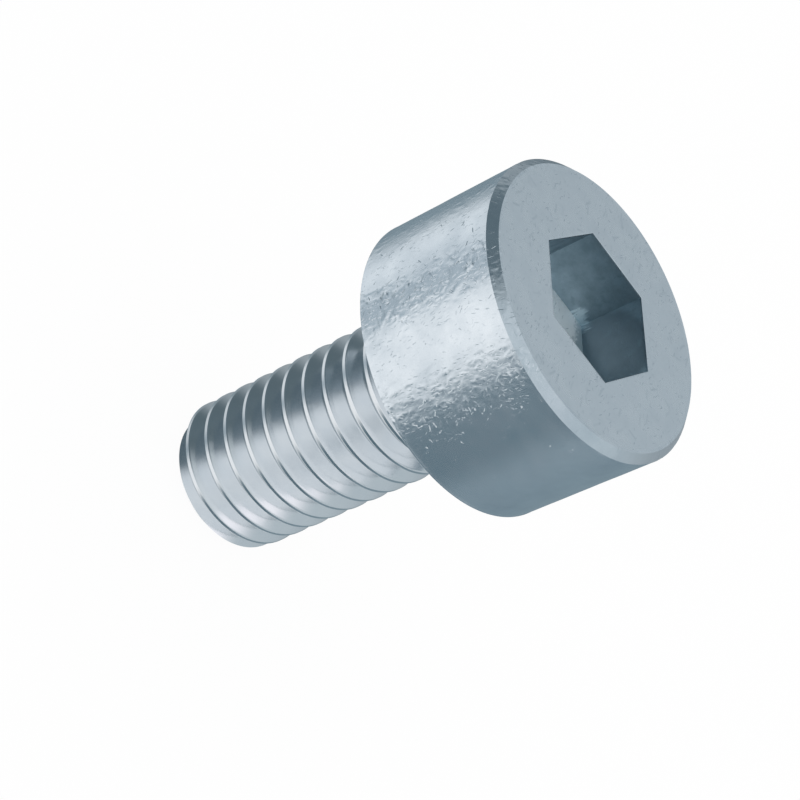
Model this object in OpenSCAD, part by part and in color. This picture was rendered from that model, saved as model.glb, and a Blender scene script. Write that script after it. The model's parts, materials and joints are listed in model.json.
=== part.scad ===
// Short socket head cap screw with a full thread, standing on its tip.
// The axis is +Z and the origin is the middle of the flat end face of the tip.

/* [Head] */
// Outer diameter of the head
head_d = 5.5; // [5.3:0.05:5.7]
// Height of the head, from its bearing face to its top face
head_h = 2.9; // [2.6:0.05:3.2]
// Size of the 45 degree chamfer round the top face
head_chamfer = 0.145; // [0.05:0.005:0.3]

/* [Hex socket] */
// Width of the socket across its flats
socket_af = 2.535; // [2:0.005:2.8]
// Depth of the flat socket floor below the top face
socket_depth = 1.32; // [1:0.02:1.8]

/* [Shank] */
// Length of the shank, from the flat tip to the bearing face
shank_len = 6.1; // [4:0.1:10]
// Diameter of the flat end face of the tip, where its 45 degree chamfer ends
tip_d = 2.36; // [2.2:0.02:2.7]
// Diameter of the plain neck between the thread and the head
neck_d = 2.67; // [2.6:0.01:2.8]
// Length of the plain neck
neck_len = 0.6; // [0.4:0.05:1.2]
// Radius of the fillet between the neck and the bearing face
fillet_r = 0.16; // [0.1:0.01:0.25]

/* [Thread] */
// Diameter over the thread crests
thread_d = 2.93; // [2.85:0.01:3]
// Distance from one crest to the next along the axis
thread_pitch = 0.5; // [0.4:0.05:0.6]
// Height of the ridge from root to crest, as a share of the pitch
ridge_share = 0.6134; // [0.5:0.01:0.65]
// Width of the flat on the crest, as a share of the pitch
crest_share = 0.125; // [0.1:0.005:0.15]
// Angle between the two flanks of the ridge
flank_angle = 60; // [55:1:60]
// Height of the lowest crest above the tip, on the +X side
thread_phase = 0.218; // [0:0.01:0.5]
// Part of a turn over which the last ridge sinks into the neck
runout_turn = 0.5; // [0.25:0.05:1]

/* [Hidden] */
// Fineness of true round surfaces
$fn = 96;
// Straight steps that make up one turn of the helix
turn_steps = 48;
// Amount by which a cut passes through a face, and a buried end passes under one
overlap = 0.05;

head_r = head_d / 2;
neck_r = neck_d / 2;
total_h = shank_len + head_h;
socket_corner_r = socket_af / 2 / cos(30);

// Section of the ridge, a trapezium with its foot on the thread root
crest_r = thread_d / 2;
ridge_h = ridge_share * thread_pitch;
root_r = crest_r - ridge_h;
crest_half = crest_share * thread_pitch / 2;
foot_half = crest_half + ridge_h * tan(flank_angle / 2);

// The helix starts two turns below the lowest crest, so that the tip cuts through whole turns
helix_z = thread_phase - 2 * thread_pitch;
// It ends in the neck, where the crest has sunk under the surface
neck_z = shank_len - neck_len;
helix_end_z = neck_z + thread_pitch / 4;
helix_steps = floor((helix_end_z - helix_z) / thread_pitch * turn_steps);
runout_steps = runout_turn * turn_steps;
sunk_r = neck_r - overlap;

// The groove ends on a cone that climbs to the neck, one in two
runout_cone_h = 2 * (neck_r - root_r + overlap);

// Height on the axis at one step of the helix
function helix_z_at(i) = helix_z + thread_pitch * i / turn_steps;

// How much of the ridge stands at one step, from 1 along the thread to 0 at its end
function ridge_left(i) = min(1, (helix_steps - i) / runout_steps);

// The four corners of the ridge at one step, from the tip side to the head side
function ridge_section(i) =
    let (
        a = 360 * i / turn_steps,
        top_r = sunk_r + (crest_r - sunk_r) * ridge_left(i)
    )
    [
        for (corner = [[root_r, -foot_half], [top_r, -crest_half], [top_r, crest_half], [root_r, foot_half]])
            [corner.x * cos(a), corner.x * sin(a), helix_z_at(i) + corner.y]
    ];

// Two triangles across four neighbouring points
function quad(a, b, c, d) = [[a, b, c], [a, c, d]];

// Triangles from one point on the axis to each piece of a chain of points
function fan(middle, chain) = [for (k = [0:len(chain) - 2]) [middle, chain[k], chain[k + 1]]];

// Round bar with one helical ridge, closed at each end by a fan to a point on the axis
module ridged_bar() {
    corners = len(ridge_section(0));
    last = helix_steps * corners;
    turn = turn_steps * corners;
    foot_point = last + corners;
    top_point = foot_point + 1;
    points = concat(
        [for (i = [0:helix_steps]) each ridge_section(i)],
        [[0, 0, helix_z_at(0) - foot_half], [0, 0, helix_z_at(helix_steps) + foot_half]]
    );
    ridge_faces = [
        for (p = [0:corners:last - corners], k = [0:corners - 2])
            each quad(p + k, p + k + 1, p + k + 1 + corners, p + k + corners)
    ];
    root_faces = [
        for (p = [corners - 1:corners:last - turn - 1])
            let (above = p + 1 - corners + turn)
            each quad(p, above, above + corners, p + corners)
    ];
    // Each end's chain goes one turn along the root, then round the cut end of the ridge
    foot_chain = [for (p = [0:corners:turn]) p];
    foot_cut = [turn, 3, 2, 1, 0];
    top_chain = [for (p = [last + 3:-corners:last - turn + 3]) p];
    top_cut = [last - turn + 3, last, last + 1, last + 2, last + 3];
    polyhedron(
        points,
        concat(
            ridge_faces,
            root_faces,
            fan(foot_point, foot_chain),
            fan(foot_point, foot_cut),
            fan(top_point, top_chain),
            fan(top_point, top_cut)
        )
    );
}

// Turned outline of the tip, a chamfer that leads out past the thread crests
module tip_outline() {
    outline_r = crest_r + 4 * overlap;
    tip_r = tip_d / 2;
    rotate_extrude()
        polygon([
            [0, 0],
            [tip_r, 0],
            [outline_r, outline_r - tip_r],
            [outline_r, shank_len],
            [0, shank_len]
        ]);
}

module thread() {
    intersection() {
        ridged_bar();
        tip_outline();
    }
}

// Plain neck, with the cone that ends the groove and the fillet under the head
module neck() {
    rotate_extrude()
        difference() {
            polygon([
                [0, neck_z - runout_cone_h],
                [root_r - overlap, neck_z - runout_cone_h],
                [neck_r, neck_z],
                [neck_r, shank_len - fillet_r],
                [neck_r + fillet_r, shank_len],
                [0, shank_len]
            ]);
            translate([neck_r + fillet_r, shank_len - fillet_r])
                circle(fillet_r);
        }
}

// Head with a chamfered top edge, a sharp lower edge and the hex socket
module head() {
    difference() {
        translate([0, 0, shank_len])
            rotate_extrude()
                polygon([
                    [0, 0],
                    [head_r, 0],
                    [head_r, head_h - head_chamfer],
                    [head_r - head_chamfer, head_h],
                    [0, head_h]
                ]);
        translate([0, 0, total_h - socket_depth])
            cylinder(h = socket_depth + overlap, r = socket_corner_r, $fn = 6);
    }
}

module screw() {
    color([0.66, 0.72, 0.76]) {
        thread();
        neck();
        head();
    }
}

screw();
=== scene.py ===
import json
import math

import bmesh
import bpy
from mathutils import Matrix, Vector, noise


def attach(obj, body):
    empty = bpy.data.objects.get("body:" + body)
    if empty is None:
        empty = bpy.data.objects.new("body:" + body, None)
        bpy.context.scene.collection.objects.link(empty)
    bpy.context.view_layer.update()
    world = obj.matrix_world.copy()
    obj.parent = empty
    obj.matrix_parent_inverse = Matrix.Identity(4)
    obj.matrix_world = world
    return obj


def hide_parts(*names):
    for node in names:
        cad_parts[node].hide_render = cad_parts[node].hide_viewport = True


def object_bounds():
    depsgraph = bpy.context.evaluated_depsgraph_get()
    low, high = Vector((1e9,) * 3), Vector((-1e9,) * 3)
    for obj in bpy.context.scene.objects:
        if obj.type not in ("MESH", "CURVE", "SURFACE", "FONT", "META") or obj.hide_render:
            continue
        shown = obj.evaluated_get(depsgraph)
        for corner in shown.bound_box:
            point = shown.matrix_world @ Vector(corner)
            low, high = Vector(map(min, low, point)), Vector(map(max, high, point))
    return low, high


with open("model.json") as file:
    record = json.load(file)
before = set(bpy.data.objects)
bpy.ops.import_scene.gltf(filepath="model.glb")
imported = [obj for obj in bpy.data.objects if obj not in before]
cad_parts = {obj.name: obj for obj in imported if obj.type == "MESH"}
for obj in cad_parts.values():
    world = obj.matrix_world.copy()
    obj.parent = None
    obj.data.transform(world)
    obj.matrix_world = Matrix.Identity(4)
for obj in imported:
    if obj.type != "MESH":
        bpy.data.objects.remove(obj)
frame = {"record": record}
cad_low, cad_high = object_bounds()
MM = 0.001

# Threaded shank. The real one is the drawn wire of the blank, rolled between two dies that press the
# grooves in and push the crests up, so the thread is smooth and its corners are slightly rounded.
# The tip is cut flat with a 45 degree chamfer, and the last turn sinks into a short plain neck.
record_mounts = {mount["name"]: mount for mount in frame["record"]["mounts"]}
bearing_z = record_mounts["bearing_face"]["pos_m"][2] / MM
crest_r = record_mounts["thread"]["dims"]["r_mm"]
pitch = 0.5
ridge_h = 0.6134 * pitch
flank_lean = math.radians(30)
crest_half = 0.038
foot_half = crest_half + ridge_h * math.tan(flank_lean)
root_r = crest_r - ridge_h
lowest_crest_z = 0.218
tip_r = 1.18
neck_r = 1.335
neck_length = 0.6
neck_z = bearing_z - neck_length
fillet_r = 0.16
sunk_r = neck_r - 0.05
runout_turn = 0.5
thread_end_z = neck_z + pitch / 4
runout_slope = 2
crest_softness = 0.008
root_softness = 0.032
root_fill = 0.025
COLUMNS = 240
TURNS = 13
FLANK_SHARES = (0.05, 0.3, 0.6, 0.92)
CREST_SHARES = (0.03, 0.97)
TIP_SHARES = (0.3, 0.6, 0.9, 0.98)


def along(start, end, shares):
    """Points on the straight line from start to end, at the given shares of its length."""
    return [
        (start[0] + (end[0] - start[0]) * s, start[1] + (end[1] - start[1]) * s)
        for s in shares
    ]


def soft_corner(before, corner, after, cut, steps=2):
    """The corner of a section, rounded from one cut length before it to one cut length after it."""
    ends = []
    for other in (before, after):
        length = math.dist(corner, other)
        ends += along(corner, other, [min(cut / length, 0.5)])
    arc = []
    for step in range(steps + 1):
        s = step / steps
        weights = ((1 - s) ** 2, 2 * s * (1 - s), s * s)
        arc.append(tuple(
            weights[0] * ends[0][axis] + weights[1] * corner[axis] + weights[2] * ends[1][axis]
            for axis in (0, 1)
        ))
    return arc


def thread_turn(crest_z, top_r):
    """Section of one turn, from the middle of the root under the ridge to the root above it."""
    start = (root_r, crest_z - pitch / 2)
    corners = [
        (root_r, crest_z - foot_half),
        (top_r, crest_z - crest_half),
        (top_r, crest_z + crest_half),
        (root_r, crest_z + foot_half),
    ]
    end = (root_r, crest_z + pitch / 2)
    lower_root = soft_corner(start, corners[0], corners[1], root_softness)
    lower_crest = soft_corner(corners[0], corners[1], corners[2], crest_softness)
    upper_crest = soft_corner(corners[1], corners[2], corners[3], crest_softness)
    upper_root = soft_corner(corners[2], corners[3], end, root_softness)
    section = [start] + lower_root
    section += along(lower_root[-1], lower_crest[0], FLANK_SHARES)
    section += lower_crest
    section += along(lower_crest[-1], upper_crest[0], CREST_SHARES)
    section += upper_crest
    section += along(upper_crest[-1], upper_root[0], [1 - s for s in reversed(FLANK_SHARES)])
    section += upper_root
    return section


def neck_surface_r(z):
    """Radius of the neck and of the cone that ends the groove, at one height."""
    cone_r = neck_r - (neck_z - z) / runout_slope
    return min(neck_r, cone_r)


def melted_r(ridge_r, neck_surface):
    """The larger of two radii, with the inner corner where they meet filled a little."""
    return (ridge_r + neck_surface + math.hypot(ridge_r - neck_surface, root_fill)) / 2


def cut_by_tip(section):
    """The section inside the chamfer cone, with a point where it crosses the cone's surface."""
    inside = list(section)
    for i in range(len(section) - 1):
        here, there = section[i], section[i + 1]
        over_here = here[0] - tip_r - here[1]
        over_there = there[0] - tip_r - there[1]
        if over_here * over_there < 0:
            crossing = along(here, there, [over_here / (over_here - over_there)])[0]
            inside[i if over_here > 0 else i + 1] = crossing
    return [(min(r, tip_r + z), z) for r, z in inside]


def shank_section(angle):
    """Section of the whole shank on one side, from the rim of the flat tip to the neck."""
    turn_share = angle / math.tau
    section = []
    for turn in range(-1, TURNS - 1):
        crest_z = lowest_crest_z + pitch * (turn + turn_share)
        left = (thread_end_z - crest_z) / pitch / runout_turn
        top_r = sunk_r + (crest_r - sunk_r) * max(0, min(1, left))
        section += thread_turn(crest_z, top_r)
    section = [(melted_r(r, neck_surface_r(z)), z) for r, z in section]
    rim_r = next(
        along(a, b, [-a[1] / (b[1] - a[1])])[0][0]
        for a, b in zip(section, section[1:])
        if a[1] < 0 <= b[1]
    )
    top_z = bearing_z - fillet_r
    section = cut_by_tip(section)
    return [
        (min(rim_r, tip_r), 0) if z < 0 else (neck_r, top_z) if z > top_z else (r, z)
        for r, z in section
    ]


def tip_face_section(rim_r):
    """The flat end of the tip, from near its middle to near its rim."""
    return [(rim_r * share, 0) for share in TIP_SHARES]


# Head. The real one is upset from the wire in a cold die, which leaves the side with shallow waves
# and small pits, and then its top edge is turned to a 45 degree chamfer. The lower edge is left
# sharp, and handling has nicked the outer edge of the chamfer a little.
head_r = min(-cad_low[0], cad_high[0], -cad_low[1], cad_high[1]) / MM
total_h = cad_high[2] / MM
chamfer = 0.145
edge_softness = 0.007
SIDE_ROWS = 44
fillet_steps = 8
BEARING_SHARES = (0.05, 0.3, 0.6, 0.85, 0.96)
CHAMFER_SHARES = (0, 0.15, 0.5, 0.85, 1)
broad_waves_per_mm = 1.6
fine_waves_per_mm = (5, 5, 3.2)
nicks_per_mm = 7.5
worn_parts_per_mm = 1.3
worn_offset = (3, 7, 5)


def head_section():
    """Section of the head, from the fillet at the neck to the inner end of the top face."""
    fillet_centre = (neck_r + fillet_r, bearing_z - fillet_r)
    section = [
        (
            fillet_centre[0] - fillet_r * math.cos(math.pi / 2 * step / fillet_steps),
            fillet_centre[1] + fillet_r * math.sin(math.pi / 2 * step / fillet_steps),
        )
        for step in range(1, fillet_steps + 1)
    ]
    bearing_inner = section[-1]
    bearing_edge = (head_r, bearing_z)
    side_top = (head_r, total_h - chamfer)
    face_edge = (head_r - chamfer, total_h)
    section += along(bearing_inner, bearing_edge, BEARING_SHARES)
    section += soft_corner(bearing_inner, bearing_edge, side_top, edge_softness, steps=3)
    section += along(bearing_edge, side_top, [(row + 0.5) / SIDE_ROWS for row in range(SIDE_ROWS)])
    section += along(side_top, face_edge, CHAMFER_SHARES)
    return section


def forged_wave(point):
    """Depth of the shallow waves at a point of the head, from 0 to 1."""
    broad = noise.fractal(point * broad_waves_per_mm, 0.9, 2.0, 3)
    fine = noise.noise(point * Vector(fine_waves_per_mm))
    return max(0, min(1, 0.5 + 0.35 * broad + 0.25 * fine))


def edge_nick(point):
    """Depth of the small nicks along an edge, from 0 on most of it to 1 in the deepest."""
    worn = noise.noise(point * worn_parts_per_mm + Vector(worn_offset))
    sharp = noise.noise(point * nicks_per_mm)
    return max(0, min(1, (sharp + 0.35 * worn - 0.15) * 2))


# Hex socket. The real one is struck into the head by a six-sided punch, which leaves straight walls,
# sharp corners between them and a flat floor.
socket_af = 2.535
socket_depth = record_mounts["hex_socket"]["dims"]["length_mm"]
floor_z = total_h - socket_depth
mouth_softness = 0.006
FACE_SHARES = (0.04, 0.15, 0.3, 0.45, 0.6, 0.75, 0.9, 0.97)
WALL_SHARES = (0.05, 0.2, 0.4, 0.6, 0.8, 0.95)
FLOOR_SHARES = (0.04, 0.25, 0.5, 0.75)


def socket_r(angle):
    """Distance from the axis to the socket wall in one direction. The corners lie on the X axis."""
    sixth = math.tau / 6
    return socket_af / 2 / math.cos(angle % sixth - sixth / 2)


def socket_section(angle):
    """Section from the chamfer's edge over the top face, down the wall and along the floor."""
    wall_r = socket_r(angle)
    face_start = (head_r - chamfer, total_h)
    mouth = (wall_r, total_h)
    floor_corner = (wall_r, floor_z)
    middle = (0, floor_z)
    section = along(face_start, mouth, FACE_SHARES)
    section += soft_corner(face_start, mouth, floor_corner, mouth_softness)
    section += along(mouth, floor_corner, WALL_SHARES)
    section += [floor_corner]
    section += along(floor_corner, middle, FLOOR_SHARES)
    return section


# Skin of the whole screw. It is one closed surface, because the real screw is one piece of steel:
# each of its columns is the section on one side of the axis, and the columns go round once.
# The thread climbs one turn on the way round, so the last column meets the first one turn higher.
wave_depth = 0.006
wave_fade = 0.125
nick_depth = 0.006
nick_reach = 0.06
weld_gap = 0.0002
sharp_from = 32
turn_points = len(thread_turn(0, crest_r))
column_sections = []
for column in range(COLUMNS):
    angle = math.tau * column / COLUMNS
    shank = shank_section(angle)
    column_sections.append([
        tip_face_section(shank[0][0]), shank, head_section(), socket_section(angle),
    ])
part_sizes = [len(part) for part in column_sections[0]]
shank_start = part_sizes[0]
shank_end = shank_start + part_sizes[1]
face_start_row = shank_end + part_sizes[2]
rows = sum(part_sizes)

skin_points = []
for column, parts in enumerate(column_sections):
    angle = math.tau * column / COLUMNS
    direction = Vector((math.cos(angle), math.sin(angle), 0))
    for r, z in sum(parts, []):
        point = direction * r + Vector((0, 0, z))
        if r > head_r - 2 * chamfer and z > bearing_z + edge_softness:
            below_chamfer = total_h - chamfer - z
            depth = wave_depth * forged_wave(point) * max(0, min(1, below_chamfer / wave_fade))
            near_edge = max(0, 1 - abs(below_chamfer) / nick_reach)
            depth += nick_depth * edge_nick(point) * near_edge
            point -= direction * depth
        skin_points.append(point * MM)
tip_middle = len(skin_points)
skin_points += [Vector((0, 0, 0)), Vector((0, 0, floor_z * MM))]
socket_middle = tip_middle + 1


def skin_point(column, row):
    """Index of the point at one column and row, where the last column is the first, a turn higher."""
    if column == COLUMNS:
        column = 0
        if shank_start <= row < shank_end:
            row = min(row + turn_points, shank_end - 1)
    return column * rows + row


THREAD, HEAD, FACE, WALL, FLOOR = range(5)
finish_ends = (
    (shank_end + fillet_steps + len(BEARING_SHARES), THREAD),
    (face_start_row, HEAD),
    (face_start_row + len(FACE_SHARES) + 1, FACE),
    (rows - len(FLOOR_SHARES) - 1, WALL),
    (rows, FLOOR),
)
skin_faces = []
skin_finishes = []
for column in range(COLUMNS):
    skin_faces.append((tip_middle, skin_point(column + 1, 0), skin_point(column, 0)))
    skin_finishes.append(THREAD)
    for row in range(rows - 1):
        skin_faces.append((
            skin_point(column, row),
            skin_point(column + 1, row),
            skin_point(column + 1, row + 1),
            skin_point(column, row + 1),
        ))
        skin_finishes.append(next(finish for end, finish in finish_ends if row < end))
    last = rows - 1
    skin_faces.append((skin_point(column, last), skin_point(column + 1, last), socket_middle))
    skin_finishes.append(FLOOR)

screw_mesh = bpy.data.meshes.new("screw_skin")
screw_mesh.from_pydata(skin_points, [], skin_faces)
screw_mesh.polygons.foreach_set("material_index", skin_finishes)
screw_mesh.polygons.foreach_set("use_smooth", [True] * len(skin_faces))
cleaned = bmesh.new()
cleaned.from_mesh(screw_mesh)
bmesh.ops.remove_doubles(cleaned, verts=cleaned.verts, dist=weld_gap * MM)
bmesh.ops.dissolve_degenerate(cleaned, edges=cleaned.edges, dist=weld_gap * MM)
bmesh.ops.recalc_face_normals(cleaned, faces=cleaned.faces)
cleaned.to_mesh(screw_mesh)
cleaned.free()
screw_mesh.set_sharp_from_angle(angle=math.radians(sharp_from))
screw = bpy.data.objects.new("zinc_plated_screw", screw_mesh)
bpy.context.scene.collection.objects.link(screw)
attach(screw, "root")
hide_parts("screw")

# Zinc plating. The real finish is a bright zinc layer a few microns thick with a pale blue passivation.
# It follows the steel under it: smooth on the rolled thread, pitted and scuffed on the head. In the
# socket its colour is darker, as painted shade, with a darker painted shade patch on one wall and
# lighter painted reflections on part of the floor and at the foot of one corner.
def new_group(name, inputs, outputs):
    """An empty node group with number or colour inputs and outputs, given as name: type or value."""
    group = bpy.data.node_groups.new(name, "ShaderNodeTree")
    kinds = {"value": "NodeSocketFloat", "colour": "NodeSocketColor", "vector": "NodeSocketVector"}
    for socket_name, kind in inputs.items():
        group.interface.new_socket(socket_name, in_out="INPUT", socket_type=kinds[kind])
    for socket_name, kind in outputs.items():
        group.interface.new_socket(socket_name, in_out="OUTPUT", socket_type=kinds[kind])
    return group, group.nodes.new("NodeGroupInput"), group.nodes.new("NodeGroupOutput")


def put(tree, kind, values=(), **settings):
    """A new node of one kind, with its settings, and with values or links for its inputs."""
    node = tree.nodes.new("ShaderNode" + kind)
    for setting, value in settings.items():
        setattr(node, setting, value)
    for socket, value in dict(values).items():
        if isinstance(value, bpy.types.NodeSocket):
            tree.links.new(value, node.inputs[socket])
        else:
            node.inputs[socket].default_value = value
    return node


def place_group(tree, group, values):
    """A node group placed in a material with its own values."""
    return put(tree, "Group", values, node_tree=group)


def make_plating_tone():
    """Mottled mix of clean and dull plating, with a roughness that follows it."""
    group, given, result = new_group(
        "plating_tone",
        {"Place": "vector", "Clean": "colour", "Dull": "colour", "Patches per mm": "value",
         "Smoothest": "value", "Roughest": "value"},
        {"Colour": "colour", "Roughness": "value"},
    )
    place = given.outputs["Place"]
    cloud = put(group, "TexNoise", {"Vector": place, "Scale": given.outputs["Patches per mm"],
                                    "Detail": 5, "Roughness": 0.6})
    dull = put(group, "MapRange", {"Value": cloud.outputs["Fac"], "From Min": 0.35, "From Max": 0.72})
    mixed = put(group, "MixRGB", {"Fac": dull.outputs[0], "Color1": given.outputs["Clean"],
                                  "Color2": given.outputs["Dull"]})
    rough = put(group, "MapRange", {"Value": cloud.outputs["Fac"], "From Min": 0.3, "From Max": 0.75,
                                    "To Min": given.outputs["Smoothest"],
                                    "To Max": given.outputs["Roughest"]})
    group.links.new(mixed.outputs[0], result.inputs["Colour"])
    group.links.new(rough.outputs[0], result.inputs["Roughness"])
    return group


def make_unrolling():
    """A place on a round surface, unrolled flat: the distance round the axis and the height."""
    group, given, result = new_group(
        "unrolling", {"Place": "vector", "Radius": "value"}, {"Unrolled": "vector"})
    parts = put(group, "SeparateXYZ", {0: given.outputs["Place"]})
    turned = put(group, "Math", {0: parts.outputs["X"], 1: parts.outputs["Y"]}, operation="ARCTAN2")
    around = put(group, "Math", {0: turned.outputs[0], 1: given.outputs["Radius"]},
                 operation="MULTIPLY")
    flat = put(group, "CombineXYZ", {"X": around.outputs[0], "Y": parts.outputs["Z"]})
    group.links.new(flat.outputs[0], result.inputs["Unrolled"])
    return group


def make_scuffing():
    """Short scratches in patches: the height of the surface, and a mask of the marks.

    Each cell of the flat place holds one straight mark, which runs in its own direction."""
    group, given, result = new_group(
        "scuffing",
        {"Place": "vector", "Marks per mm": "value", "Half length": "value", "Half width": "value",
         "Patches per mm": "value", "Bare share": "value", "Amount": "value"},
        {"Height": "value", "Mark": "value"},
    )

    def vector_node(operation, *values):
        return put(group, "VectorMath", dict(enumerate(values)), operation=operation)

    def fade(value, full_at, none_at):
        return put(group, "MapRange", {"Value": value, "From Min": none_at, "From Max": full_at},
                   interpolation_type="SMOOTHSTEP").outputs[0]

    def times(a, b):
        return put(group, "Math", {0: a, 1: b}, operation="MULTIPLY").outputs[0]

    bend = 0.06
    middle_grey = (0.5, 0.5, 0.5)
    along_axis = (0.35, 1, 0)
    full_patch = 0.1
    place = given.outputs["Place"]
    warp = put(group, "TexNoise", {"Vector": place, "Scale": 7, "Detail": 2})
    warp = vector_node("SUBTRACT", warp.outputs["Color"], middle_grey)
    bent = vector_node("MULTIPLY_ADD", warp.outputs[0], (bend, bend, 0), place).outputs[0]
    cells = put(group, "TexVoronoi", {"Vector": bent, "Scale": given.outputs["Marks per mm"]},
                voronoi_dimensions="2D")
    offset = vector_node("SUBTRACT", bent, cells.outputs["Position"]).outputs[0]
    offset = vector_node("MULTIPLY", offset, (1, 1, 0)).outputs[0]
    way = vector_node("SUBTRACT", cells.outputs["Color"], middle_grey)
    way = vector_node("MULTIPLY", way.outputs[0], along_axis)
    way = vector_node("NORMALIZE", way.outputs[0]).outputs[0]
    run = vector_node("DOT_PRODUCT", offset, way).outputs["Value"]
    foot = put(group, "VectorMath", {0: way, "Scale": run}, operation="SCALE").outputs[0]
    across = vector_node("DISTANCE", offset, foot).outputs["Value"]
    half_width = given.outputs["Half width"]
    line = fade(across, 0, half_width)
    run = put(group, "Math", {0: run}, operation="ABSOLUTE").outputs[0]
    half_length = given.outputs["Half length"]
    line = times(line, fade(run, times(half_length, 0.6), half_length))
    strength = put(group, "SeparateXYZ", {0: cells.outputs["Color"]}).outputs["Z"]
    line = times(line, times(strength, strength))
    patch = put(group, "TexNoise", {"Vector": place, "Scale": given.outputs["Patches per mm"],
                                    "Detail": 3, "Roughness": 0.6}).outputs["Fac"]
    bare = given.outputs["Bare share"]
    dense = put(group, "Math", {0: bare, 1: full_patch}, operation="ADD").outputs[0]
    mark = times(times(line, fade(patch, dense, bare)), given.outputs["Amount"])
    height = put(group, "Math", {0: 1, 1: mark}, operation="SUBTRACT").outputs[0]
    group.links.new(height, result.inputs["Height"])
    group.links.new(mark, result.inputs["Mark"])
    return group


# Degrees round the axis, and how much more of the side is left bare of marks there
band_stops = (
    (-180, 0.05), (-167, 0.1), (-158, 0.1), (-152, 0.0), (-141, 0.0), (-136, 0.08), (-120, 0.07),
    (-114, 0.025), (-105, 0.025), (-98, 0.09), (-87, 0.25), (-40, 0.25), (-25, 0.05),
    (5, 0.12), (30, 0.03), (60, 0.15), (90, 0.06), (120, 0.13), (150, 0.05), (180, 0.05),
)


def make_scuff_bands():
    """How much more of the side is left bare of marks, which gather where the blank was gripped."""
    group, given, result = new_group("scuff_bands", {"Place": "vector"}, {"More bare": "value"})
    parts = put(group, "SeparateXYZ", {0: given.outputs["Place"]})
    turned = put(group, "Math", {0: parts.outputs["Y"], 1: parts.outputs["X"]}, operation="ARCTAN2")
    share = put(group, "MapRange", {"Value": turned.outputs[0], "From Min": -math.pi,
                                    "From Max": math.pi})
    ramp = put(group, "ValToRGB", {"Fac": share.outputs[0]})
    while len(ramp.color_ramp.elements) < len(band_stops):
        ramp.color_ramp.elements.new(0.5)
    for stop, (degrees, bare) in zip(ramp.color_ramp.elements, band_stops):
        stop.position = (degrees + 180) / 360
        stop.color = (bare, bare, bare, 1)
    group.links.new(ramp.outputs["Color"], result.inputs["More bare"])
    return group


def make_painted_light_patch():
    """Ragged patch round one point, used to mix painted shade and painted reflections into a colour."""
    group, given, result = new_group(
        "painted_light_patch", {"Place": "vector", "Middle": "vector", "Reach": "value", "Ragged": "value"},
        {"Painted_light": "value"})
    streaks_per_mm = (14, 14, 3)
    edge_outside, edge_inside = -0.06, 0.1
    place = given.outputs["Place"]
    drawn = put(group, "VectorMath", {0: place, 1: streaks_per_mm}, operation="MULTIPLY")
    streaks = put(group, "TexNoise", {"Vector": drawn.outputs[0], "Scale": 1, "Detail": 4})
    ragged = put(group, "Math", {0: streaks.outputs["Fac"], 1: 0.5}, operation="SUBTRACT")
    ragged = put(group, "Math", {0: ragged.outputs[0], 1: given.outputs["Ragged"],
                                 2: given.outputs["Reach"]}, operation="MULTIPLY_ADD")
    off = put(group, "VectorMath", {0: place, 1: given.outputs["Middle"]}, operation="DISTANCE")
    left = put(group, "Math", {0: ragged.outputs[0], 1: off.outputs["Value"]}, operation="SUBTRACT")
    painted_share = put(group, "MapRange", {"Value": left.outputs[0], "From Min": edge_outside,
                                     "From Max": edge_inside},
                 interpolation_type="SMOOTHSTEP")
    group.links.new(painted_share.outputs[0], result.inputs["Painted_light"])
    return group


def make_crinkle():
    """Fine crinkled relief of forged steel, drawn out along one axis."""
    group, given, result = new_group(
        "crinkle",
        {"Place": "vector", "Ridges per mm": "value", "Detail": "value", "Drawn along": "vector"},
        {"Height": "value"},
    )
    drawn = put(group, "VectorMath", {0: given.outputs["Place"], 1: given.outputs["Drawn along"]},
                operation="MULTIPLY")
    folds = put(group, "TexNoise", {"Vector": drawn.outputs[0],
                                    "Scale": given.outputs["Ridges per mm"],
                                    "Detail": given.outputs["Detail"], "Roughness": 0.55},
                noise_type="RIDGED_MULTIFRACTAL")
    group.links.new(folds.outputs["Fac"], result.inputs["Height"])
    return group


plating_tone = make_plating_tone()
unrolling = make_unrolling()
scuffing = make_scuffing()
scuff_bands = make_scuff_bands()
painted_light_patch = make_painted_light_patch()
crinkle = make_crinkle()


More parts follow.
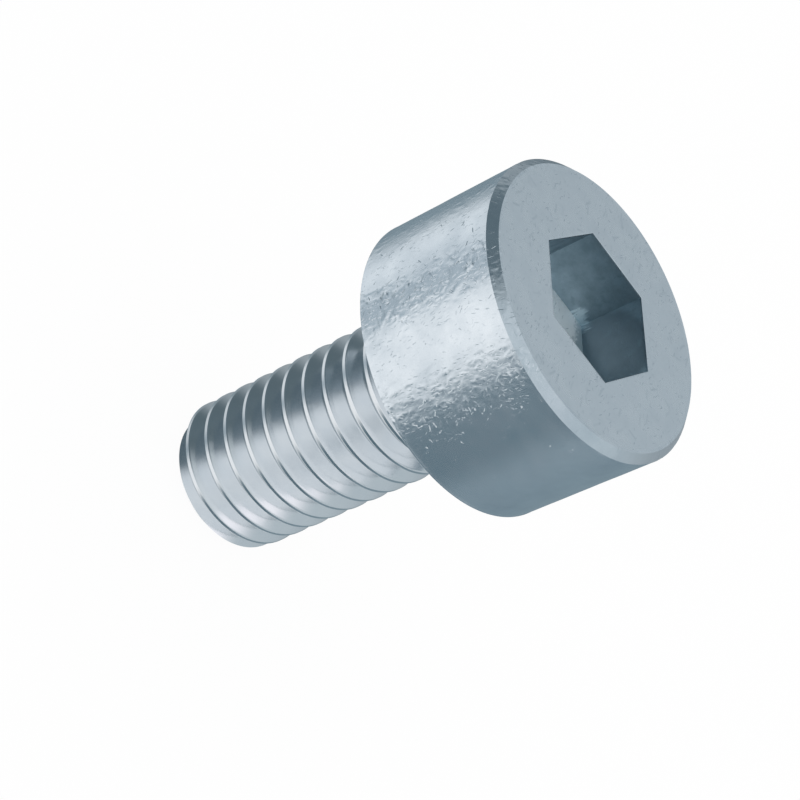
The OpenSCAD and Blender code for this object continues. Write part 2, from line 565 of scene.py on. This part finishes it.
def plated(name, tones, patches, roughness, scuffs, folds, unrolled_r=0, in_bands=False,
           metallic=1.0, painted_patches=()):
    """A zinc finish: its clean and dull tones, its marks, and the depth of its relief.

    The folds are given as ridges per mm, detail and depth. A flat face isn't unrolled."""
    drawn_along_axis = (1, 1, 0.75)
    barest, most_relief, least_relief = 0.12, 2, 0.06
    material = bpy.data.materials.new(name)
    material.use_nodes = True
    tree = material.node_tree
    shader = tree.nodes["Principled BSDF"]
    shader.inputs["Metallic"].default_value = metallic
    where = put(tree, "TexCoord")
    place = put(tree, "VectorMath", {0: where.outputs["Object"], "Scale": 1 / MM}, operation="SCALE")
    place = place.outputs[0]
    clean, dull = tones
    tone = place_group(tree, plating_tone, {
        "Place": place, "Clean": clean, "Dull": dull, "Patches per mm": patches,
        "Smoothest": roughness[0], "Roughest": roughness[1],
    })
    colour = tone.outputs["Colour"]
    # Patches of painted shade and painted reflection, mixed into the colour.
    for painted_patch in painted_patches:
        painted_share = place_group(tree, painted_light_patch, {
            "Place": place, "Middle": painted_patch["middle"], "Reach": painted_patch["reach"], "Ragged": painted_patch["ragged"]})
        colour = put(tree, "MixRGB", {"Fac": painted_share.outputs[0], "Color1": colour,
                                      "Color2": painted_patch["tone"]}).outputs[0]
    more_bare = 0
    relief_share = 1
    if in_bands:
        more_bare = place_group(tree, scuff_bands, {"Place": place}).outputs[0]
        relief_share = put(tree, "MapRange", {"Value": more_bare, "From Min": 0,
                                              "From Max": barest, "To Min": most_relief,
                                              "To Max": least_relief}).outputs[0]
    normal = None
    for ridges_per_mm, detail, fold_depth in folds:
        fold = place_group(tree, crinkle, {
            "Place": place, "Ridges per mm": ridges_per_mm, "Detail": detail,
            "Drawn along": drawn_along_axis,
        })
        height = put(tree, "Math", {0: fold.outputs["Height"], 1: relief_share},
                     operation="MULTIPLY").outputs[0]
        relief = {"Height": height, "Distance": fold_depth * MM}
        if normal:
            relief["Normal"] = normal
        normal = put(tree, "Bump", relief).outputs[0]
    flat_place = place
    if unrolled_r:
        flat_place = place_group(tree, unrolling, {"Place": place, "Radius": unrolled_r}).outputs[0]
    for scuff in scuffs:
        bare = scuff["bare"]
        if in_bands:
            bare = put(tree, "Math", {0: more_bare, 1: scuff["bare"]}, operation="ADD").outputs[0]
        marks = place_group(tree, scuffing, {
            "Place": flat_place, "Marks per mm": scuff["per_mm"], "Half length": scuff["length"] / 2,
            "Half width": scuff["width"] / 2, "Patches per mm": scuff["patches"],
            "Bare share": bare, "Amount": scuff["amount"],
        })
        colour = put(tree, "MixRGB", {"Fac": marks.outputs["Mark"], "Color1": colour,
                                      "Color2": scuff["tone"]}).outputs[0]
        normal = put(tree, "Bump", {"Height": marks.outputs["Height"], "Normal": normal,
                                    "Distance": scuff["depth"] * MM}).outputs[0]
    tree.links.new(colour, shader.inputs["Base Color"])
    tree.links.new(tone.outputs["Roughness"], shader.inputs["Roughness"])
    tree.links.new(normal, shader.inputs["Normal"])
    return material


bright_zinc = (0.76, 0.82, 0.87, 1)
dull_zinc = (0.70, 0.765, 0.82, 1)
marked_zinc = (0.42, 0.50, 0.56, 1)
clear_head_zinc = (0.79, 0.85, 0.90, 1)
cloudy_head_zinc = (0.655, 0.725, 0.785, 1)
thread_zinc = (0.78, 0.815, 0.845, 1)
dull_thread_zinc = (0.74, 0.785, 0.825, 1)
# Socket wall tones, darker than the head: painted shade in the recess.
painted_shade_wall_zinc = (0.48, 0.58, 0.64, 1)
deeper_painted_shade_wall_zinc = (0.33, 0.42, 0.47, 1)
# A darker tone for a patch of painted shade on one socket wall.
painted_shade_patch_zinc = (0.29, 0.355, 0.40, 1)
# A lighter tone for painted reflections on the socket floor and at a corner's foot.
painted_reflection_zinc = (0.84, 0.95, 1.0, 1)
# Socket floor tones, darker than the top face: painted shade in the recess.
painted_shade_floor_zinc = (0.44, 0.58, 0.65, 1)
deeper_painted_shade_floor_zinc = (0.34, 0.47, 0.53, 1)

scratches = {"per_mm": 8, "length": 0.11, "width": 0.022, "patches": 2.2, "bare": 0.35,
             "amount": 1.0, "depth": 0.003, "tone": dull_zinc}
flecks = {"per_mm": 13, "length": 0.055, "width": 0.026, "patches": 2.8, "bare": 0.34,
          "amount": 0.9, "depth": 0.0027, "tone": dull_zinc}
specks = {"per_mm": 8, "length": 0.07, "width": 0.022, "patches": 2.4, "bare": 0.28,
          "amount": 0.45, "depth": 0.0018, "tone": marked_zinc}
smudges = {"per_mm": 3.5, "length": 0.3, "width": 0.08, "patches": 1.6, "bare": 0.4,
           "amount": 0.35, "depth": 0.0006, "tone": marked_zinc}
blotches = {"per_mm": 4, "length": 0.2, "width": 0.12, "patches": 1.6, "bare": 0.42,
            "amount": 0.7, "depth": 0.0004, "tone": deeper_painted_shade_wall_zinc}
# Middles of the painted reflection patches at a socket corner's foot and on the socket floor.
corner_painted_reflection_middle = (0.58, 1.27, floor_z + 0.03)
floor_painted_reflection_middle = (-0.1, 0.75, floor_z)
# Middle of the painted shade patch on one socket wall.
painted_shade_patch_middle = (1.15, 0.5, floor_z + 0.5)
finishes = {
    THREAD: plated(
        "zinc_on_thread", (thread_zinc, dull_thread_zinc), patches=1.5, roughness=(0.14, 0.2),
        scuffs=[],
        folds=[(4.5, 3, 0.0012)],
        unrolled_r=crest_r,
    ),
    HEAD: plated(
        "zinc_on_head", (clear_head_zinc, cloudy_head_zinc), patches=1.5, roughness=(0.2, 0.27),
        scuffs=[specks, scratches, flecks],
        folds=[(5.5, 3, 0.0105), (11, 1, 0.0042)],
        unrolled_r=head_r,
        in_bands=True,
    ),
    FACE: plated(
        "zinc_on_top_face", (bright_zinc, dull_zinc), patches=2.5, roughness=(0.24, 0.34),
        scuffs=[
            smudges,
            dict(scratches, bare=0.45, amount=0.8, depth=0.002, tone=marked_zinc),
            dict(flecks, per_mm=9, length=0.07, bare=0.45, amount=0.8, depth=0.002,
                 tone=marked_zinc),
        ],
        folds=[(4.5, 3, 0.0015)],
    ),
    # Socket walls in darker tones, which are painted shade in the recess.
    WALL: plated(
        "zinc_in_socket_with_painted_shade", (painted_shade_wall_zinc, deeper_painted_shade_wall_zinc), patches=3, roughness=(0.34, 0.5),
        scuffs=[blotches, dict(flecks, amount=0.6, depth=0.002, tone=deeper_painted_shade_wall_zinc)],
        folds=[(4.5, 3, 0.006)],
        unrolled_r=socket_af / 2,
        # A darker patch of painted shade on one wall, and a lighter painted reflection at a corner's
        # foot.
        painted_patches=[
            {"middle": painted_shade_patch_middle, "reach": 0.9, "ragged": 0.15, "tone": painted_shade_patch_zinc},
            {"middle": corner_painted_reflection_middle, "reach": 0.2, "ragged": 0.6, "tone": painted_reflection_zinc},
        ],
    ),
    # Socket floor in darker tones, painted shade in the recess, with a lighter painted reflection.
    FLOOR: plated(
        "zinc_on_socket_floor_with_painted_light", (painted_shade_floor_zinc, deeper_painted_shade_floor_zinc), patches=3,
        roughness=(0.4, 0.55),
        scuffs=[dict(scratches, tone=deeper_painted_shade_floor_zinc)],
        folds=[(4.5, 3, 0.006)],
        metallic=0.35,
        # A lighter patch over part of the floor: a painted reflection.
        painted_patches=[{"middle": floor_painted_reflection_middle, "reach": 0.86, "ragged": 0.4, "tone": painted_reflection_zinc}],
    ),
}
for finish in sorted(finishes):
    screw_mesh.materials.append(finishes[finish])

# Floor. A plain white table, which a camera ray sees as white and which keeps a faint shadow.
# The metal mirrors the studio round it, so that the floor doesn't show in the reflections.
floor_half = 0.6
floor_white = 1.0
table_white = (0.98, 0.98, 0.98, 1)
shadow_share = 0.05
floor_mesh = bpy.data.meshes.new("floor")
floor_mesh.from_pydata(
    [(-floor_half, -floor_half, 0), (floor_half, -floor_half, 0),
     (floor_half, floor_half, 0), (-floor_half, floor_half, 0)],
    [], [(0, 1, 2, 3)],
)
floor = bpy.data.objects.new("floor", floor_mesh)
bpy.context.scene.collection.objects.link(floor)
floor_paint = bpy.data.materials.new("white_table")
floor_paint.use_nodes = True
floor_tree = floor_paint.node_tree
floor_tree.nodes.remove(floor_tree.nodes["Principled BSDF"])
floor_output = floor_tree.nodes["Material Output"]
ray = put(floor_tree, "LightPath")
seen = put(floor_tree, "Math", {0: ray.outputs["Is Camera Ray"], 1: ray.outputs["Is Glossy Ray"]},
           operation="MAXIMUM")
seen = put(floor_tree, "Math", {0: seen.outputs[0], 1: ray.outputs["Is Transmission Ray"]},
           operation="MAXIMUM")
glow_share = put(floor_tree, "Math", {0: seen.outputs[0], 1: 1 - shadow_share},
                 operation="MULTIPLY")
matt = put(floor_tree, "BsdfDiffuse", {"Color": table_white})
glow = put(floor_tree, "Emission", {"Color": (1, 1, 1, 1), "Strength": floor_white})
table_shader = put(floor_tree, "MixShader", {0: glow_share.outputs[0], 1: matt.outputs[0],
                                             2: glow.outputs[0]})
floor_tree.links.new(table_shader.outputs[0], floor_output.inputs["Surface"])
floor_mesh.materials.append(floor_paint)
floor.visible_glossy = False

# Camera. It looks down on the standing screw from above the socket, at the photograph's angle, and
# it is rolled so that the screw's axis runs from the lower left to the upper right.
camera_azimuth = math.radians(-23.44)
camera_elevation = math.radians(35.351)
camera_roll = math.radians(65.07)
camera_distance = 39.245
camera_aim = Vector((0.0123, -0.0053, 4.498))
camera_lens = 98.754
back = Vector((
    math.sin(camera_azimuth) * math.cos(camera_elevation),
    -math.cos(camera_azimuth) * math.cos(camera_elevation),
    math.sin(camera_elevation),
))
level_right = Vector((math.cos(camera_azimuth), math.sin(camera_azimuth), 0))
level_up = back.cross(level_right)
camera_right = level_right * math.cos(camera_roll) + level_up * math.sin(camera_roll)
camera_up = back.cross(camera_right)
camera_data = bpy.data.cameras.new("camera")
camera_data.lens = camera_lens
camera_data.sensor_width = 36
camera_data.clip_start = 1 * MM
camera_data.clip_end = 2
camera = bpy.data.objects.new("camera", camera_data)
bpy.context.scene.collection.objects.link(camera)
camera.matrix_world = Matrix((camera_right, camera_up, back)).transposed().to_4x4()
camera.location = (camera_aim + back * camera_distance) * MM
bpy.context.scene.camera = camera

# Studio. The screw stands in a pale tent, white low down and grey from the horizon up to the top.
# Soft screens round it give the round metal its bands: grey and dark ones on the left, dark ones low
# down, and a lit one high on the right. Angles are degrees from the camera's side.
camera_side = math.atan2(back.y, back.x)
tent_colours = (
    (-90, (1.0, 1.0, 1.0, 1)),
    (-4, (1.0, 1.0, 1.0, 1)),
    (5, (0.36, 0.40, 0.42, 1)),
    (30, (0.46, 0.51, 0.54, 1)),
    (57, (0.62, 0.67, 0.70, 1)),
    (90, (0.81, 0.84, 0.84, 1)),
)
screens = {
    "left_grey": {"middle": -90, "width": 80, "bottom": -60, "top": -10, "side_edge": 44,
                  "end_edge": 20, "colour": (0.84, 0.87, 0.89, 1)},
    "right_fill": {"middle": 80, "width": 130, "bottom": 20, "top": 60, "side_edge": 60,
                   "end_edge": 30, "colour": (0.52, 0.58, 0.61, 1)},
    "left": {"middle": -103, "width": 108, "bottom": 19, "top": 61, "side_edge": 50,
             "end_edge": 18, "colour": (0.11, 0.15, 0.17, 1)},
    "left_low": {"middle": -83, "width": 76, "bottom": -21, "top": 46, "side_edge": 30,
                 "end_edge": 10, "colour": (0.13, 0.175, 0.20, 1)},
    "left_slot": {"middle": -68, "width": 20, "bottom": -50, "top": -18, "side_edge": 26,
                  "end_edge": 10, "colour": (0.40, 0.47, 0.52, 1)},
    "left_floor": {"middle": -105, "width": 96, "bottom": -66, "top": -42, "side_edge": 30,
                   "end_edge": 12, "colour": (0.18, 0.235, 0.265, 1)},
    "far": {"middle": 172, "width": 130, "bottom": -30, "top": 4, "side_edge": 26, "end_edge": 10,
            "colour": (0.33, 0.37, 0.395, 1)},
    "far_left": {"middle": -160, "width": 36, "bottom": -30, "top": -3, "side_edge": 16,
                 "end_edge": 10, "colour": (0.17, 0.215, 0.24, 1)},
    "right_low": {"middle": 119.5, "width": 229, "bottom": -46, "top": -25, "side_edge": 36,
                  "end_edge": 6, "colour": (0.22, 0.29, 0.33, 1)},
    "right_low_front": {"middle": 46, "width": 62, "bottom": -47, "top": -25, "side_edge": 30,
                        "end_edge": 6, "colour": (0.12, 0.18, 0.215, 1)},
    "right_lamp": {"middle": 84, "width": 60, "bottom": 54, "top": 84, "side_edge": 36,
                   "end_edge": 20, "colour": (1.1, 1.07, 1.1, 1)},
}


def make_soft_screen():
    """Mask of an upright screen, from 1 on it to 0 past its soft edges. All angles are radians."""
    group, given, result = new_group(
        "soft_screen",
        {"Azimuth": "value", "Elevation": "value", "Middle": "value", "Half width": "value",
         "Bottom": "value", "Top": "value", "Side edge": "value", "End edge": "value"},
        {"Mask": "value"},
    )
    names = given.outputs

    def math_node(operation, *values):
        return put(group, "Math", dict(enumerate(values)), operation=operation).outputs[0]

    def fade(value, edge):
        share = math_node("DIVIDE", value, edge)
        return put(group, "MapRange", {"Value": share, "From Min": -0.5, "From Max": 0.5},
                   interpolation_type="SMOOTHSTEP").outputs[0]

    off = math_node("SUBTRACT", names["Azimuth"], names["Middle"])
    off = math_node("ABSOLUTE", math_node("WRAP", off, math.pi, -math.pi))
    sides = fade(math_node("SUBTRACT", names["Half width"], off), names["Side edge"])
    above = fade(math_node("SUBTRACT", names["Elevation"], names["Bottom"]), names["End edge"])
    below = fade(math_node("SUBTRACT", names["Top"], names["Elevation"]), names["End edge"])
    mask = math_node("MULTIPLY", sides, math_node("MULTIPLY", above, below))
    group.links.new(mask, result.inputs["Mask"])
    return group


soft_screen = make_soft_screen()
studio = bpy.data.worlds.new("studio")
studio.use_nodes = True
bpy.context.scene.world = studio
studio_tree = studio.node_tree
looking = put(studio_tree, "TexCoord").outputs["Generated"]
looking = put(studio_tree, "VectorMath", {0: looking}, operation="NORMALIZE").outputs[0]
parts = put(studio_tree, "SeparateXYZ", {0: looking})
azimuth = put(studio_tree, "Math", {0: parts.outputs["Y"], 1: parts.outputs["X"]},
              operation="ARCTAN2").outputs[0]
elevation = put(studio_tree, "Math", {0: parts.outputs["Z"]}, operation="ARCSINE").outputs[0]
height = put(studio_tree, "MapRange", {"Value": elevation, "From Min": -math.pi / 2,
                                       "From Max": math.pi / 2}).outputs[0]
tent = put(studio_tree, "ValToRGB", {"Fac": height})
while len(tent.color_ramp.elements) < len(tent_colours):
    tent.color_ramp.elements.new(0.5)
for stop, (degrees, tent_colour) in zip(tent.color_ramp.elements, tent_colours):
    stop.position = (degrees + 90) / 180
    stop.color = tent_colour
lit = tent.outputs["Color"]
for screen in screens.values():
    mask = place_group(studio_tree, soft_screen, {
        "Azimuth": azimuth, "Elevation": elevation,
        "Middle": camera_side + math.radians(screen["middle"]),
        "Half width": math.radians(screen["width"] / 2),
        "Bottom": math.radians(screen["bottom"]), "Top": math.radians(screen["top"]),
        "Side edge": math.radians(screen["side_edge"]),
        "End edge": math.radians(screen["end_edge"]),
    })
    lit = put(studio_tree, "MixRGB", {"Fac": mask.outputs[0], "Color1": lit,
                                      "Color2": screen["colour"]}).outputs[0]
ray = put(studio_tree, "LightPath")
plain = put(studio_tree, "Math", {0: ray.outputs["Is Camera Ray"], 1: ray.outputs["Is Diffuse Ray"]},
            operation="MAXIMUM")
shown = put(studio_tree, "MixRGB", {"Fac": plain.outputs[0], "Color1": lit,
                                    "Color2": (1, 1, 1, 1)})
studio_tree.links.new(shown.outputs[0], studio_tree.nodes["Background"].inputs["Color"])

bpy.context.scene.view_settings.view_transform = "Standard"
